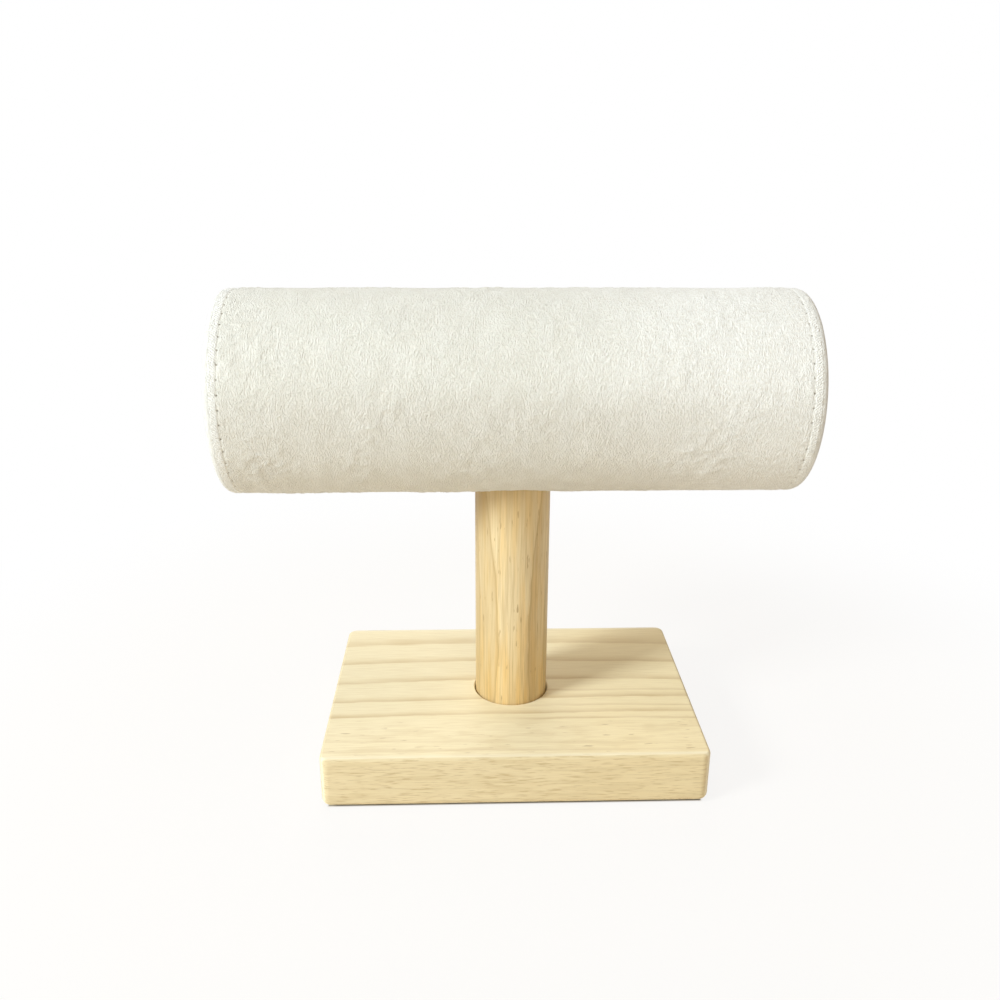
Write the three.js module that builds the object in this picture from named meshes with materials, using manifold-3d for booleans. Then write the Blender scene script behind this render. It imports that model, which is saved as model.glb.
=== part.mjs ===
// Bracelet display stand: a padded velvet roll that plugs onto a round wooden post,
// which stands in a bored socket of a pine board and turns there on one screw.
// Millimetres, +Z up, +X along the roll. The origin is on the table, under the post.

import * as THREE from 'three';
import { mergeVertices } from 'three/addons/utils/BufferGeometryUtils.js';
import Module from 'manifold-3d';

// Room between pieces
const GAP = 0.3; // between pieces that lie against each other
const SOCKET_PLAY = 0.4; // radial play of the post in both its sockets

// Base board
const BOARD_LENGTH = 140;
const BOARD_DEPTH = 98;
const BOARD_THICKNESS = 20;
const BOARD_CORNER = 3.5; // radius of the four upright corners
const BOARD_EDGE = 1.5; // rounding of the edges above and below
const BOARD_WEB = 4; // wood left between the socket and the screw's counterbore
const SOCKET_CHAMFER = 0.4;

// Felt pads under the board
const PAD_DIAMETER = 14;
const PAD_THICKNESS = 1;
const PAD_INSET = 14; // from the board's sides to a pad's centre

// Post
const POST_DIAMETER = 28;
const POST_EXPOSED = 85; // from the board's top to the lowest line of the roll
const POST_PAST_AXIS = 9; // how far the post reaches past the roll's axis
const POST_CHAMFER = 1;

// Screw that holds the post from under the board, and its washer
const SCREW_DIAMETER = 5;
const SCREW_LENGTH = 45;
const SCREW_PITCH = 3;
const SCREW_HEAD_DIAMETER = 9.5;
const SCREW_HEAD_HEIGHT = 3.4;
const SCREW_HEAD_ROUND = 2.2;
const SCREW_HEAD_RECESS = 1.1; // from the board's underside up to the head
const SCREW_HOLE_PLAY = 0.5;
const WASHER_DIAMETER = 13;
const WASHER_THICKNESS = 1.2;

// Roll, from its end to the middle and from the outside inwards
const ROLL_DIAMETER = 72;
const ROLL_LENGTH = 203;
const RIM_ROUND = 2.4; // rounding of the end covers' rims, down to the seam
const RIM_TURN = Math.PI / 9; // angle over which the rim's edge is drawn in at the seam
const HEM_WIDTH = 3.2; // from the seam to the row of stitches
const HEM_TURN = 7; // width of the layer turned in under the hem
const COVER_THICKNESS = 1;
const PADDING_THICKNESS = 3;
const TUBE_WALL = 3;
const END_BOARD_THICKNESS = 2.5;

// Stitches of the hem
const STITCH_PITCH = 4.9;
const THREAD_DIAMETER = 0.5;
const THREAD_WAVE = 0.2; // how far a stitch rises and dips
const GROOVE_WIDTH = 1.5; // width that the thread pulls down
const GROOVE_SHOULDER = 0.6; // width over which the velvet rises again
const GROOVE_SKIN = 0.6; // cloth left under the groove

// Block in the middle of the tube that takes the post, and its two screws
const BLOCK_WALL = 8; // wood on either side of the post, along the roll
const BLOCK_SCREW_DIAMETER = 3;
const BLOCK_SCREW_LENGTH = 18;
const BLOCK_SCREW_PITCH = 1.5;
const BLOCK_SCREW_HEAD_DIAMETER = 6;
const BLOCK_SCREW_HEAD_HEIGHT = 1.7;

// Thread and cross recess that both kinds of screw share
const THREAD_DEPTH_SHARE = 0.18; // of a screw's diameter
const TIP_TURNS = 2; // turns of the thread that run out to the point
const RECESS_WIDTH_SHARE = 0.12; // of a head's diameter
const RECESS_LENGTH_SHARE = 0.55; // of a head's diameter
const RECESS_DEPTH_SHARE = 0.6; // of a head's height

// Facets
const ROLL_SIDES = 60;
const POST_SIDES = 48;
const SMALL_SIDES = 24;
const SCREW_SIDES = 6;
const THREAD_ROWS = 4; // rows of points to each turn of a screw's thread
const STITCH_STEPS = 2; // steps along each stitch
const STITCH_SIDES = 4;
const ARC_STEPS = 4;

// Heights and radii of the post, its sockets and its screw that follow
const POST_RADIUS = POST_DIAMETER / 2;
const SOCKET_RADIUS = POST_RADIUS + SOCKET_PLAY;
const BOARD_BOTTOM = PAD_THICKNESS;
const BOARD_TOP = BOARD_BOTTOM + BOARD_THICKNESS;
const COUNTERBORE_DEPTH = SCREW_HEAD_RECESS + SCREW_HEAD_HEIGHT + GAP + WASHER_THICKNESS;
const COUNTERBORE_TOP = BOARD_BOTTOM + COUNTERBORE_DEPTH;
const SOCKET_FLOOR = COUNTERBORE_TOP + BOARD_WEB;
const POST_BOTTOM = SOCKET_FLOOR + GAP;
const SCREW_SEAT = COUNTERBORE_TOP - WASHER_THICKNESS - GAP;
const SCREW_HOLE_RADIUS = SCREW_DIAMETER / 2 + SCREW_HOLE_PLAY;
const ROLL_RADIUS = ROLL_DIAMETER / 2;
const ROLL_AXIS = BOARD_TOP + POST_EXPOSED + ROLL_RADIUS;
const POST_TOP = ROLL_AXIS + POST_PAST_AXIS;

// Radii of the roll's layers that follow
const COVER_INSIDE = ROLL_RADIUS - COVER_THICKNESS;
const HEM_INSIDE = COVER_INSIDE - COVER_THICKNESS;
const PADDING_OUTSIDE = COVER_INSIDE - GAP;
const PADDING_INSIDE = PADDING_OUTSIDE - PADDING_THICKNESS;
const TUBE_OUTSIDE = PADDING_INSIDE - GAP;
const TUBE_INSIDE = TUBE_OUTSIDE - TUBE_WALL;
const BLOCK_RADIUS = TUBE_INSIDE - GAP;
const UNDER_HEM = HEM_INSIDE - GAP;

// Places along the roll that follow, measured from its middle
const ROLL_END = ROLL_LENGTH / 2;
const SEAM = ROLL_END - RIM_ROUND;
const STITCH_ROW = SEAM - HEM_WIDTH;
const HEM_TURN_EDGE = SEAM - HEM_TURN;
const END_BOARD_OUTER = ROLL_END - COVER_THICKNESS - GAP;
const TUBE_END = END_BOARD_OUTER - END_BOARD_THICKNESS;
const BLOCK_END = SOCKET_RADIUS + BLOCK_WALL;
const BLOCK_SCREW_PLACE = SOCKET_RADIUS + BLOCK_WALL / 2;

// Finishes
const BOARD_PINE = { color: 0xf0deb2, roughness: 0.55, metalness: 0 };
const POST_PINE = { color: 0xe6cc94, roughness: 0.5, metalness: 0 };
const VELVET = { color: 0xebe8db, roughness: 0.95, metalness: 0 };
const SEWING_THREAD = { color: 0xd9d3c0, roughness: 0.8, metalness: 0 };
const CARDBOARD = { color: 0xb89c74, roughness: 0.9, metalness: 0 };
const WADDING = { color: 0xf4f1e8, roughness: 1, metalness: 0 };
const BLOCK_WOOD = { color: 0xd9bf8c, roughness: 0.7, metalness: 0 };
const FELT = { color: 0x75695a, roughness: 1, metalness: 0 };
const ZINC = { color: 0xc4c7c9, roughness: 0.35, metalness: 1 };

const wasm = await Module();
wasm.setup();

// Joins shared vertices and drops the triangles that have no area at an axis.
function weld(geometry) {
  const bare = geometry.clone();
  bare.deleteAttribute('normal');
  bare.deleteAttribute('uv');
  const welded = mergeVertices(bare);
  const corners = welded.index.array;
  const kept = [];
  for (let i = 0; i < corners.length; i += 3) {
    const [a, b, c] = corners.slice(i, i + 3);
    if (a !== b && b !== c && c !== a) {
      kept.push(a, b, c);
    }
  }
  welded.setIndex(kept);
  return welded;
}

function toSolid(geometry) {
  const welded = weld(geometry);
  const vertProperties = new Float32Array(welded.getAttribute('position').array);
  const triVerts = new Uint32Array(welded.index.array);
  return new wasm.Manifold(new wasm.Mesh({ numProp: 3, vertProperties, triVerts }));
}

function fromSolid(solid) {
  const mesh = solid.getMesh();
  const result = new THREE.BufferGeometry();
  result.setAttribute('position', new THREE.BufferAttribute(mesh.vertProperties, 3));
  result.setIndex(new THREE.BufferAttribute(mesh.triVerts, 1));
  result.computeVertexNormals();
  return result;
}

function joined(first, second) {
  return fromSolid(toSolid(first).add(toSolid(second)));
}

function cut(geometry, ...cutters) {
  let solid = toSolid(geometry);
  for (const cutter of cutters) {
    solid = solid.subtract(toSolid(cutter));
  }
  return fromSolid(solid);
}

// A body turned about +Z or about +X from [radius, place] points, the outer side rising.
function turnedUpright(points, sides) {
  const profile = points.map(([radius, height]) => new THREE.Vector2(radius, height));
  return new THREE.LatheGeometry(profile, sides).rotateX(Math.PI / 2);
}

function turnedAlongRoll(points, sides) {
  const profile = points.map(([radius, place]) => new THREE.Vector2(radius, place));
  return new THREE.LatheGeometry(profile, sides).rotateZ(-Math.PI / 2);
}

function uprightRod(radius, bottom, top, sides) {
  return turnedUpright([[0, bottom], [radius, bottom], [radius, top], [0, top]], sides);
}

// Points of an arc in a profile, from one angle to another, measured from the radius.
function arc(centreRadius, centrePlace, radius, from, to) {
  const points = [];
  for (let i = 0; i <= ARC_STEPS; i += 1) {
    const angle = from + ((to - from) * i) / ARC_STEPS;
    points.push([centreRadius + radius * Math.cos(angle), centrePlace + radius * Math.sin(angle)]);
  }
  return points;
}

function piece(name, geometry, finish) {
  const mesh = new THREE.Mesh(geometry, new THREE.MeshStandardMaterial(finish));
  mesh.name = name;
  return mesh;
}

// Base board: a rounded plate with the post's socket above and a counterbore below.
function boardGeometry() {
  const halfLength = BOARD_LENGTH / 2 - BOARD_EDGE;
  const halfDepth = BOARD_DEPTH / 2 - BOARD_EDGE;
  const corner = BOARD_CORNER - BOARD_EDGE;
  const outline = new THREE.Shape();
  outline.absarc(halfLength - corner, halfDepth - corner, corner, 0, Math.PI / 2);
  outline.absarc(corner - halfLength, halfDepth - corner, corner, Math.PI / 2, Math.PI);
  outline.absarc(corner - halfLength, corner - halfDepth, corner, Math.PI, Math.PI * 1.5);
  outline.absarc(halfLength - corner, corner - halfDepth, corner, Math.PI * 1.5, Math.PI * 2);
  const plate = new THREE.ExtrudeGeometry(outline, {
    depth: BOARD_THICKNESS - 2 * BOARD_EDGE,
    bevelThickness: BOARD_EDGE,
    bevelSize: BOARD_EDGE,
    bevelSegments: ARC_STEPS,
    curveSegments: ARC_STEPS,
  }).translate(0, 0, BOARD_BOTTOM + BOARD_EDGE);
  const socket = turnedUpright([
    [0, SOCKET_FLOOR],
    [SOCKET_RADIUS, SOCKET_FLOOR],
    [SOCKET_RADIUS, BOARD_TOP - SOCKET_CHAMFER],
    [SOCKET_RADIUS + 2 * SOCKET_CHAMFER, BOARD_TOP + SOCKET_CHAMFER],
    [0, BOARD_TOP + SOCKET_CHAMFER],
  ], POST_SIDES);
  const hole = uprightRod(SCREW_HOLE_RADIUS, BOARD_BOTTOM, SOCKET_FLOOR + GAP, SMALL_SIDES);
  const counterboreRadius = WASHER_DIAMETER / 2 + SCREW_HOLE_PLAY;
  const counterbore = uprightRod(counterboreRadius, BOARD_BOTTOM - GAP, COUNTERBORE_TOP, SMALL_SIDES);
  return cut(plate, socket, hole, counterbore);
}

// Wood screw pointing up, with its shank starting at height 0. The head's profile runs from the
// axis up to that height, and the shank's points are drawn in between the turns of the thread.
function screwGeometry({ diameter, length, pitch, headProfile, headDiameter, headHeight }) {
  const radius = diameter / 2;
  const depth = diameter * THREAD_DEPTH_SHARE;
  const rowHeight = pitch / THREAD_ROWS;
  const tipLength = TIP_TURNS * pitch;
  const profile = [[0, -headHeight / 2], [radius, -headHeight / 2], [radius, pitch]];
  for (let height = pitch + rowHeight; height < length - rowHeight / 2; height += rowHeight) {
    const taper = Math.min(1, (length - height) / tipLength);
    profile.push([radius * taper, height]);
  }
  profile.push([0, length]);
  const shank = turnedUpright(profile, SCREW_SIDES);
  const place = shank.getAttribute('position');
  for (let i = 0; i < place.count; i += 1) {
    const height = place.getZ(i);
    const distance = Math.hypot(place.getX(i), place.getY(i));
    if (height > pitch + rowHeight / 2 && distance > depth) {
      const turn = height / pitch - Math.atan2(place.getY(i), place.getX(i)) / (2 * Math.PI);
      const wave = Math.abs(2 * (turn - Math.round(turn)));
      const share = 1 - (depth * wave) / radius;
      place.setXY(i, place.getX(i) * share, place.getY(i) * share);
    }
  }
  const head = turnedUpright([...headProfile, [radius, 0], [0, 0]], SMALL_SIDES);
  const recess = [headDiameter * RECESS_LENGTH_SHARE, headDiameter * RECESS_WIDTH_SHARE];
  const slots = [recess, recess.toReversed()].map(([across, along]) => {
    const slot = new THREE.BoxGeometry(across, along, 2 * headHeight * RECESS_DEPTH_SHARE);
    return slot.translate(0, 0, -headHeight);
  });
  return cut(joined(head, shank), ...slots);
}

function panHead(diameter, height, round) {
  const radius = diameter / 2;
  const shoulder = arc(radius - round, round - height, round, -Math.PI / 2, 0);
  return [[0, -height], ...shoulder, [radius, 0]];
}

const stand = new THREE.Group();

// Board, its pads and the washer
stand.add(piece('base_board', boardGeometry(), BOARD_PINE));

const padAlong = BOARD_LENGTH / 2 - PAD_INSET;
const padAcross = BOARD_DEPTH / 2 - PAD_INSET;
for (const [row, across] of [['front', -padAcross], ['rear', padAcross]]) {
  for (const [side, along] of [['left', -padAlong], ['right', padAlong]]) {
    const pad = piece(
      `foot_pad_${row}_${side}`,
      uprightRod(PAD_DIAMETER / 2, 0, PAD_THICKNESS, SMALL_SIDES),
      FELT,
    );
    pad.position.set(along, across, 0);
    stand.add(pad);
  }
}

const washerBottom = COUNTERBORE_TOP - WASHER_THICKNESS;
stand.add(piece('base_screw_washer', turnedUpright([
  [SCREW_HOLE_RADIUS, washerBottom],
  [WASHER_DIAMETER / 2, washerBottom],
  [WASHER_DIAMETER / 2, COUNTERBORE_TOP],
  [SCREW_HOLE_RADIUS, COUNTERBORE_TOP],
  [SCREW_HOLE_RADIUS, washerBottom],
], SMALL_SIDES), ZINC));

// Post with the pilot hole for its screw
const pilotRadius = SCREW_DIAMETER / 2 + GAP;
const pilotTop = SCREW_SEAT + SCREW_LENGTH + GAP;
stand.add(piece('post', turnedUpright([
  [0, pilotTop + pilotRadius],
  [pilotRadius, pilotTop],
  [pilotRadius, POST_BOTTOM],
  [POST_RADIUS - POST_CHAMFER, POST_BOTTOM],
  [POST_RADIUS, POST_BOTTOM + POST_CHAMFER],
  [POST_RADIUS, POST_TOP - POST_CHAMFER],
  [POST_RADIUS - POST_CHAMFER, POST_TOP],
  [0, POST_TOP],
], POST_SIDES), POST_PINE));

const baseScrew = piece('base_screw', screwGeometry({
  diameter: SCREW_DIAMETER,
  length: SCREW_LENGTH,
  pitch: SCREW_PITCH,
  headProfile: panHead(SCREW_HEAD_DIAMETER, SCREW_HEAD_HEIGHT, SCREW_HEAD_ROUND),
  headDiameter: SCREW_HEAD_DIAMETER,
  headHeight: SCREW_HEAD_HEIGHT,
}), ZINC);
baseScrew.position.z = SCREW_SEAT;
stand.add(baseScrew);

// Everything on the roll is made about the roll's own axis
const roll = new THREE.Group();
roll.position.z = ROLL_AXIS;
stand.add(roll);

// Room for the post, up through the underside of the roll
const postRoom = uprightRod(SOCKET_RADIUS, -ROLL_DIAMETER, POST_PAST_AXIS + GAP, POST_SIDES);

const tube = [
  [TUBE_OUTSIDE, -TUBE_END],
  [TUBE_OUTSIDE, TUBE_END],
  [TUBE_INSIDE, TUBE_END],
  [TUBE_INSIDE, -TUBE_END],
  [TUBE_OUTSIDE, -TUBE_END],
];
const block = [[0, -BLOCK_END], [BLOCK_RADIUS, -BLOCK_END], [BLOCK_RADIUS, BLOCK_END], [0, BLOCK_END]];

// The block's screws point down from the top of the tube, with their heads sunk in its wall
const headRadius = BLOCK_SCREW_HEAD_DIAMETER / 2;
const shankRadius = BLOCK_SCREW_DIAMETER / 2;
const sunkHead = [[0, -BLOCK_SCREW_HEAD_HEIGHT], [headRadius, -BLOCK_SCREW_HEAD_HEIGHT]];
const headTop = Math.sqrt(TUBE_OUTSIDE ** 2 - headRadius ** 2) - GAP;
const blockScrewSeat = headTop - BLOCK_SCREW_HEAD_HEIGHT;
const blockScrewPlaces = [['left', -BLOCK_SCREW_PLACE], ['right', BLOCK_SCREW_PLACE]];
const blockScrewHoles = blockScrewPlaces.map(([, along]) => turnedUpright([
  [0, blockScrewSeat - BLOCK_SCREW_LENGTH - BLOCK_SCREW_HEAD_HEIGHT],
  [shankRadius + GAP, blockScrewSeat - BLOCK_SCREW_LENGTH],
  [shankRadius + GAP, blockScrewSeat - GAP],
  [headRadius + GAP, headTop - GAP],
  [headRadius + GAP, ROLL_RADIUS],
  [0, ROLL_RADIUS],
], SMALL_SIDES).translate(along, 0, 0));

const coreCuts = [postRoom, ...blockScrewHoles];
roll.add(piece('core_tube', cut(turnedAlongRoll(tube, ROLL_SIDES), ...coreCuts), CARDBOARD));
roll.add(piece('socket_block', cut(turnedAlongRoll(block, ROLL_SIDES), ...coreCuts), BLOCK_WOOD));

for (const [side, along] of blockScrewPlaces) {
  const screw = piece(`block_screw_${side}`, screwGeometry({
    diameter: BLOCK_SCREW_DIAMETER,
    length: BLOCK_SCREW_LENGTH,
    pitch: BLOCK_SCREW_PITCH,
    headProfile: sunkHead,
    headDiameter: BLOCK_SCREW_HEAD_DIAMETER,
    headHeight: BLOCK_SCREW_HEAD_HEIGHT,
  }), ZINC);
  screw.rotation.x = Math.PI;
  screw.position.set(along, 0, blockScrewSeat);
  roll.add(screw);
}

// Wadding round the tube, thinner where the hems of the cover are double
const paddingEnd = TUBE_END - GAP;
const hemStep = HEM_TURN_EDGE - GAP;
const padding = [
  [UNDER_HEM, -paddingEnd],
  [UNDER_HEM, -hemStep],
  [PADDING_OUTSIDE, -hemStep],
  [PADDING_OUTSIDE, hemStep],
  [UNDER_HEM, hemStep],
  [UNDER_HEM, paddingEnd],
  [PADDING_INSIDE, paddingEnd],
  [PADDING_INSIDE, -paddingEnd],
  [UNDER_HEM, -paddingEnd],
];
roll.add(piece('padding', cut(turnedAlongRoll(padding, ROLL_SIDES), postRoom), WADDING));

// Velvet sleeve: the hem at each end is folded in, and its stitches draw a groove round it
const foldPlace = SEAM - GAP / 2 - COVER_THICKNESS;
const grooveFloor = HEM_INSIDE + GROOVE_SKIN;
const grooveHalf = GROOVE_WIDTH / 2;
const hem = [
  [ROLL_RADIUS, STITCH_ROW - grooveHalf - GROOVE_SHOULDER],
  [grooveFloor, STITCH_ROW - grooveHalf],
  [grooveFloor, STITCH_ROW + grooveHalf],
  [ROLL_RADIUS, STITCH_ROW + grooveHalf + GROOVE_SHOULDER],
  ...arc(COVER_INSIDE, foldPlace, COVER_THICKNESS, 0, Math.PI),
  [HEM_INSIDE, HEM_TURN_EDGE],
  [COVER_INSIDE, HEM_TURN_EDGE],
];
const otherHem = hem.map(([radius, place]) => [radius, -place]).reverse();
const sleeve = turnedAlongRoll([...hem, ...otherHem, hem[0]], ROLL_SIDES);
roll.add(piece('cover_sleeve', cut(sleeve, postRoom), VELVET));

// One unbroken thread round each hem: every stitch rises on the velvet and dips at its ends
const stitchCount = Math.round((Math.PI * ROLL_DIAMETER) / STITCH_PITCH);
const threadRadius = THREAD_DIAMETER / 2;
const threadRing = grooveFloor + GAP + THREAD_WAVE + threadRadius;
function hemThreadGeometry() {
  const ring = new THREE.TorusGeometry(threadRing, threadRadius, STITCH_SIDES, stitchCount * STITCH_STEPS);
  const place = ring.getAttribute('position');
  for (let i = 0; i < place.count; i += 1) {
    const angle = Math.atan2(place.getY(i), place.getX(i));
    const rise = THREAD_WAVE * Math.cos(stitchCount * angle);
    place.setXY(i, place.getX(i) + rise * Math.cos(angle), place.getY(i) + rise * Math.sin(angle));
  }
  return ring.rotateY(Math.PI / 2).translate(STITCH_ROW, 0, 0);
}

// Board that closes the tube, and the round of velvet over it with its edge turned in
const endBoard = [[0, TUBE_END], [UNDER_HEM, TUBE_END], [UNDER_HEM, END_BOARD_OUTER], [0, END_BOARD_OUTER]];
const endCover = [
  [0, ROLL_END - COVER_THICKNESS],
  [HEM_INSIDE, ROLL_END - COVER_THICKNESS],
  [HEM_INSIDE, SEAM + GAP / 2],
  [COVER_INSIDE, SEAM + GAP / 2],
  ...arc(ROLL_RADIUS - RIM_ROUND, SEAM, RIM_ROUND, RIM_TURN, Math.PI / 2),
  [0, ROLL_END],
];

for (const [side, turn] of [['left', Math.PI], ['right', 0]]) {
  const end = new THREE.Group();
  end.rotation.z = turn;
  end.add(piece(`end_board_${side}`, turnedAlongRoll(endBoard, ROLL_SIDES), CARDBOARD));
  end.add(piece(`end_cover_${side}`, turnedAlongRoll(endCover, ROLL_SIDES), VELVET));
  end.add(piece(`hem_thread_${side}`, hemThreadGeometry(), SEWING_THREAD));
  roll.add(end);
}

export default stand;
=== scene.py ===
import math

import bmesh
import bpy
from mathutils import Matrix, Vector, noise


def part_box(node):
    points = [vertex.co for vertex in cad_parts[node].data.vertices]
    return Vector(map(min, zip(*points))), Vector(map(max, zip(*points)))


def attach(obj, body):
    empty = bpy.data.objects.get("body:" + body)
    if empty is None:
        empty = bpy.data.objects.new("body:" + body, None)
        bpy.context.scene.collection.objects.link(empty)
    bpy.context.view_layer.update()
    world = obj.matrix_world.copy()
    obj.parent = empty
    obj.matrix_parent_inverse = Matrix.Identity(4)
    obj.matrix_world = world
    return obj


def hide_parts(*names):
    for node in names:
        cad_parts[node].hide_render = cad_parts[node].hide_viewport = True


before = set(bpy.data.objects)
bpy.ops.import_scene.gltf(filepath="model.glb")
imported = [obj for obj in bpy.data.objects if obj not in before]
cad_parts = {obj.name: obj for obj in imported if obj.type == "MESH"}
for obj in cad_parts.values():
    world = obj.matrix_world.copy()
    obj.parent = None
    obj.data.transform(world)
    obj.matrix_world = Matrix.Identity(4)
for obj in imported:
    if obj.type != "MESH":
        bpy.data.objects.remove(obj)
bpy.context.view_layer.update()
scene = bpy.context.scene
MM = 0.001


# Camera: stands before the stand, a little to its left and above the roll, and looks down on it.
# Its place and lens were found from the outlines of the roll, the post and the board.
CAMERA_LENS = 34.758
CAMERA_SENSOR = 36.0
CAMERA_PLACE = Vector((-15.63, -338.23, 224.48)) * MM
CAMERA_YAW = math.radians(1.852)
CAMERA_PITCH = math.radians(20.149)
CAMERA_TILT = math.radians(-0.265)
CAMERA_NEAR = 10 * MM

ahead = Vector((math.sin(CAMERA_YAW), math.cos(CAMERA_YAW), -math.tan(CAMERA_PITCH))).normalized()
level = Vector((math.cos(CAMERA_YAW), -math.sin(CAMERA_YAW), 0))
under = ahead.cross(level)
right = level * math.cos(CAMERA_TILT) + under * math.sin(CAMERA_TILT)
down = under * math.cos(CAMERA_TILT) - level * math.sin(CAMERA_TILT)
camera = bpy.data.objects.new("camera", bpy.data.cameras.new("camera"))
camera.data.lens = CAMERA_LENS
camera.data.sensor_width = CAMERA_SENSOR
camera.data.clip_start = CAMERA_NEAR
facing = Matrix((right, -down, -ahead)).transposed().to_4x4()
camera.matrix_world = Matrix.Translation(CAMERA_PLACE) @ facing
scene.collection.objects.link(camera)
scene.camera = camera


# Base board: a planed pine plate with softened edges, a blind socket for the post in its top
# and a counterbored screw hole from below. The growth rings run along it and leave soft tan bands.
BOARD_CORNER = 3.5 * MM
BOARD_CORNER_LEAST = 0.3 * MM
BOARD_CORNER_STEPS = 6
BOARD_SIDE_STEPS = (18, 12)
BOARD_TOP_ROUND = 1.1 * MM
BOARD_BOTTOM_ROUND = 2.4 * MM
BOARD_ROUND_STEPS = 5
SOCKET_PLAY = 0.4 * MM
SOCKET_CHAMFER = 0.4 * MM
SOCKET_FLOOR_GAP = 0.3 * MM
SCREW_HOLE_RADIUS = 3.0 * MM
COUNTERBORE_PLAY = 0.5 * MM
EDGE_ANGLE = math.radians(42)

board_low, board_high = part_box("base_board")
post_low, post_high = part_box("post")
washer_low, washer_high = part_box("base_screw_washer")


def smoothed(mesh):
    """Rounded where faces meet at a small angle, sharp at true edges."""
    shell = bmesh.new()
    shell.from_mesh(mesh)
    bmesh.ops.recalc_face_normals(shell, faces=shell.faces)
    shell.to_mesh(mesh)
    shell.free()
    mesh.polygons.foreach_set("use_smooth", [True] * len(mesh.polygons))
    mesh.set_sharp_from_angle(angle=EDGE_ANGLE)


def shown(name, mesh, finish):
    """A mesh as a piece of the scene in its finish."""
    smoothed(mesh)
    mesh.materials.clear()
    mesh.materials.append(finish.material)
    piece = bpy.data.objects.new(name, mesh)
    scene.collection.objects.link(piece)
    return piece


def lofted(name, rings, closed=False):
    """Four-sided faces over rings of points; a closed skin joins its last ring to its first."""
    count = len(rings[0])
    points = [point for ring in rings for point in ring]
    strips = [(row, row + 1) for row in range(len(rings) - 1)]
    if closed:
        strips.append((len(rings) - 1, 0))
    faces = []
    for first, second in strips:
        for column in range(count):
            after = (column + 1) % count
            faces.append((
                first * count + column,
                first * count + after,
                second * count + after,
                second * count + column,
            ))
    if not closed:
        faces.append(tuple(range(count)))
        faces.append(tuple(range((len(rings) - 1) * count, len(rings) * count)))
    mesh = bpy.data.meshes.new(name)
    mesh.from_pydata(points, [], faces)
    return mesh


class Shade:
    """One value of a finish; sums written with it add the Math nodes that work them out."""

    def __init__(self, finish, socket):
        self.finish = finish
        self.socket = socket

    def maths(self, operation, *terms):
        return self.finish.node("ShaderNodeMath", {"operation": operation}, dict(enumerate(terms)))

    def other(self, output):
        return Shade(self.finish, self.socket.node.outputs[output])

    def fraction(self):
        return self.maths("FRACT", self)

    def __add__(self, term):
        return self.maths("ADD", self, term)

    def __radd__(self, term):
        return self.maths("ADD", term, self)

    def __sub__(self, term):
        return self.maths("SUBTRACT", self, term)

    def __rsub__(self, term):
        return self.maths("SUBTRACT", term, self)

    def __mul__(self, term):
        return self.maths("MULTIPLY", self, term)

    def __truediv__(self, term):
        return self.maths("DIVIDE", self, term)

    def __pow__(self, term):
        return self.maths("POWER", self, term)

    def __abs__(self):
        return self.maths("ABSOLUTE", self)


class Wiring:
    """A tree of shader nodes."""

    def __init__(self, tree):
        self.tree = tree

    def node(self, kind, settings, sockets, output=0):
        node = self.tree.nodes.new(kind)
        for name, value in settings.items():
            setattr(node, name, value)
        for key, value in sockets.items():
            if isinstance(value, Shade):
                self.tree.links.new(value.socket, node.inputs[key])
            else:
                node.inputs[key].default_value = value
        return Shade(self, node.outputs[output])

    def seen(self):
        """1 for what the camera sees itself, in a mirror or through glass, and 0 for lighting."""
        ray = self.node("ShaderNodeLightPath", {}, {}, "Is Camera Ray")
        mirrored = ray.maths("MAXIMUM", ray, ray.other("Is Glossy Ray"))
        return ray.maths("MAXIMUM", mirrored, ray.other("Is Transmission Ray"))


class Finish(Wiring):
    """A procedural material: one Principled shader and the nodes that feed it."""

    def __init__(self, name, fixed):
        self.material = bpy.data.materials.new(name)
        self.material.use_nodes = True
        super().__init__(self.material.node_tree)
        self.shader = self.tree.nodes["Principled BSDF"]
        for socket, value in fixed.items():
            self.shader.inputs[socket].default_value = value

    def place(self):
        """Where a point lies on its piece, in millimetres."""
        point = self.node("ShaderNodeTexCoord", {}, {}, "Object")
        return self.node("ShaderNodeVectorMath", {"operation": "SCALE"}, {0: point, "Scale": 1 / MM})

    def parts(self, vector):
        """The x, y and z of a vector."""
        split = self.node("ShaderNodeSeparateXYZ", {}, {0: vector})
        return split, split.other("Y"), split.other("Z")

    def joined(self, x, y, z):
        """A vector of three values."""
        return self.node("ShaderNodeCombineXYZ", {}, {0: x, 1: y, 2: z})

    def mottle(self, place, spot, detail=2.0):
        """Soft noise from 0 to 1 whose spots have the given size along x, y and z."""
        scaled = self.node("ShaderNodeVectorMath", {"operation": "DIVIDE"}, {0: place, 1: spot})
        return self.node("ShaderNodeTexNoise", {}, {"Vector": scaled, "Scale": 1.0, "Detail": detail})

    def fade(self, value, start, end):
        """Goes softly from 0 to 1 as the value goes from start to end."""
        settings = {"interpolation_type": "SMOOTHSTEP"}
        sockets = {"Value": value, "From Min": start, "From Max": end}
        return self.node("ShaderNodeMapRange", settings, sockets)

    def mixed(self, share, first, second):
        """The second colour laid over the first by a share."""
        # A Mix node keeps its two colours at inputs 6 and 7 and gives the mixed colour at output 2.
        return self.node("ShaderNodeMix", {"data_type": "RGBA"}, {0: share, 6: first, 7: second}, 2)

    def feed(self, socket, value):
        self.tree.links.new(value.socket, self.shader.inputs[socket])

    def relief(self, height, depth):
        """Fine relief: a height from 0 to 1 stands that depth proud."""
        self.feed("Normal", self.node("ShaderNodeBump", {}, {"Height": height, "Distance": depth}))


def colour(red, green, blue):
    return (red, green, blue, 1.0)


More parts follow.
